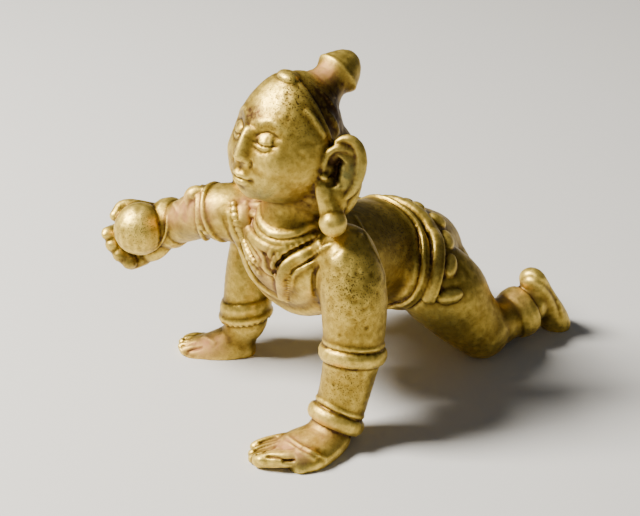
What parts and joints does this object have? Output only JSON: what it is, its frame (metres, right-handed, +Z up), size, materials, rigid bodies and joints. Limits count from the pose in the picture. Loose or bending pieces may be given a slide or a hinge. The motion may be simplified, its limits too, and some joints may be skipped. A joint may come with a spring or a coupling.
{
  "type": "krishna figure",
  "caption": "Solid-cast brass figure of a crawling child with a topknot, necklaces and bangles, one knee raised, holding out a ball of butter in the right hand.",
  "frame": {"origin": "centre of the footprint, on the ground the figure rests on", "axes": "+Z up; the child crawls towards -Y; its own left side is +X"},
  "size_m": [0.0558, 0.069, 0.0576],
  "materials": {
    "brass": "worn cast brass, rubbed bright on the high places, with dark and reddish patina in the recesses"
  },
  "bodies": {
    "root": {"crawling_krishna": "brass"}
  },
  "joints": []
}
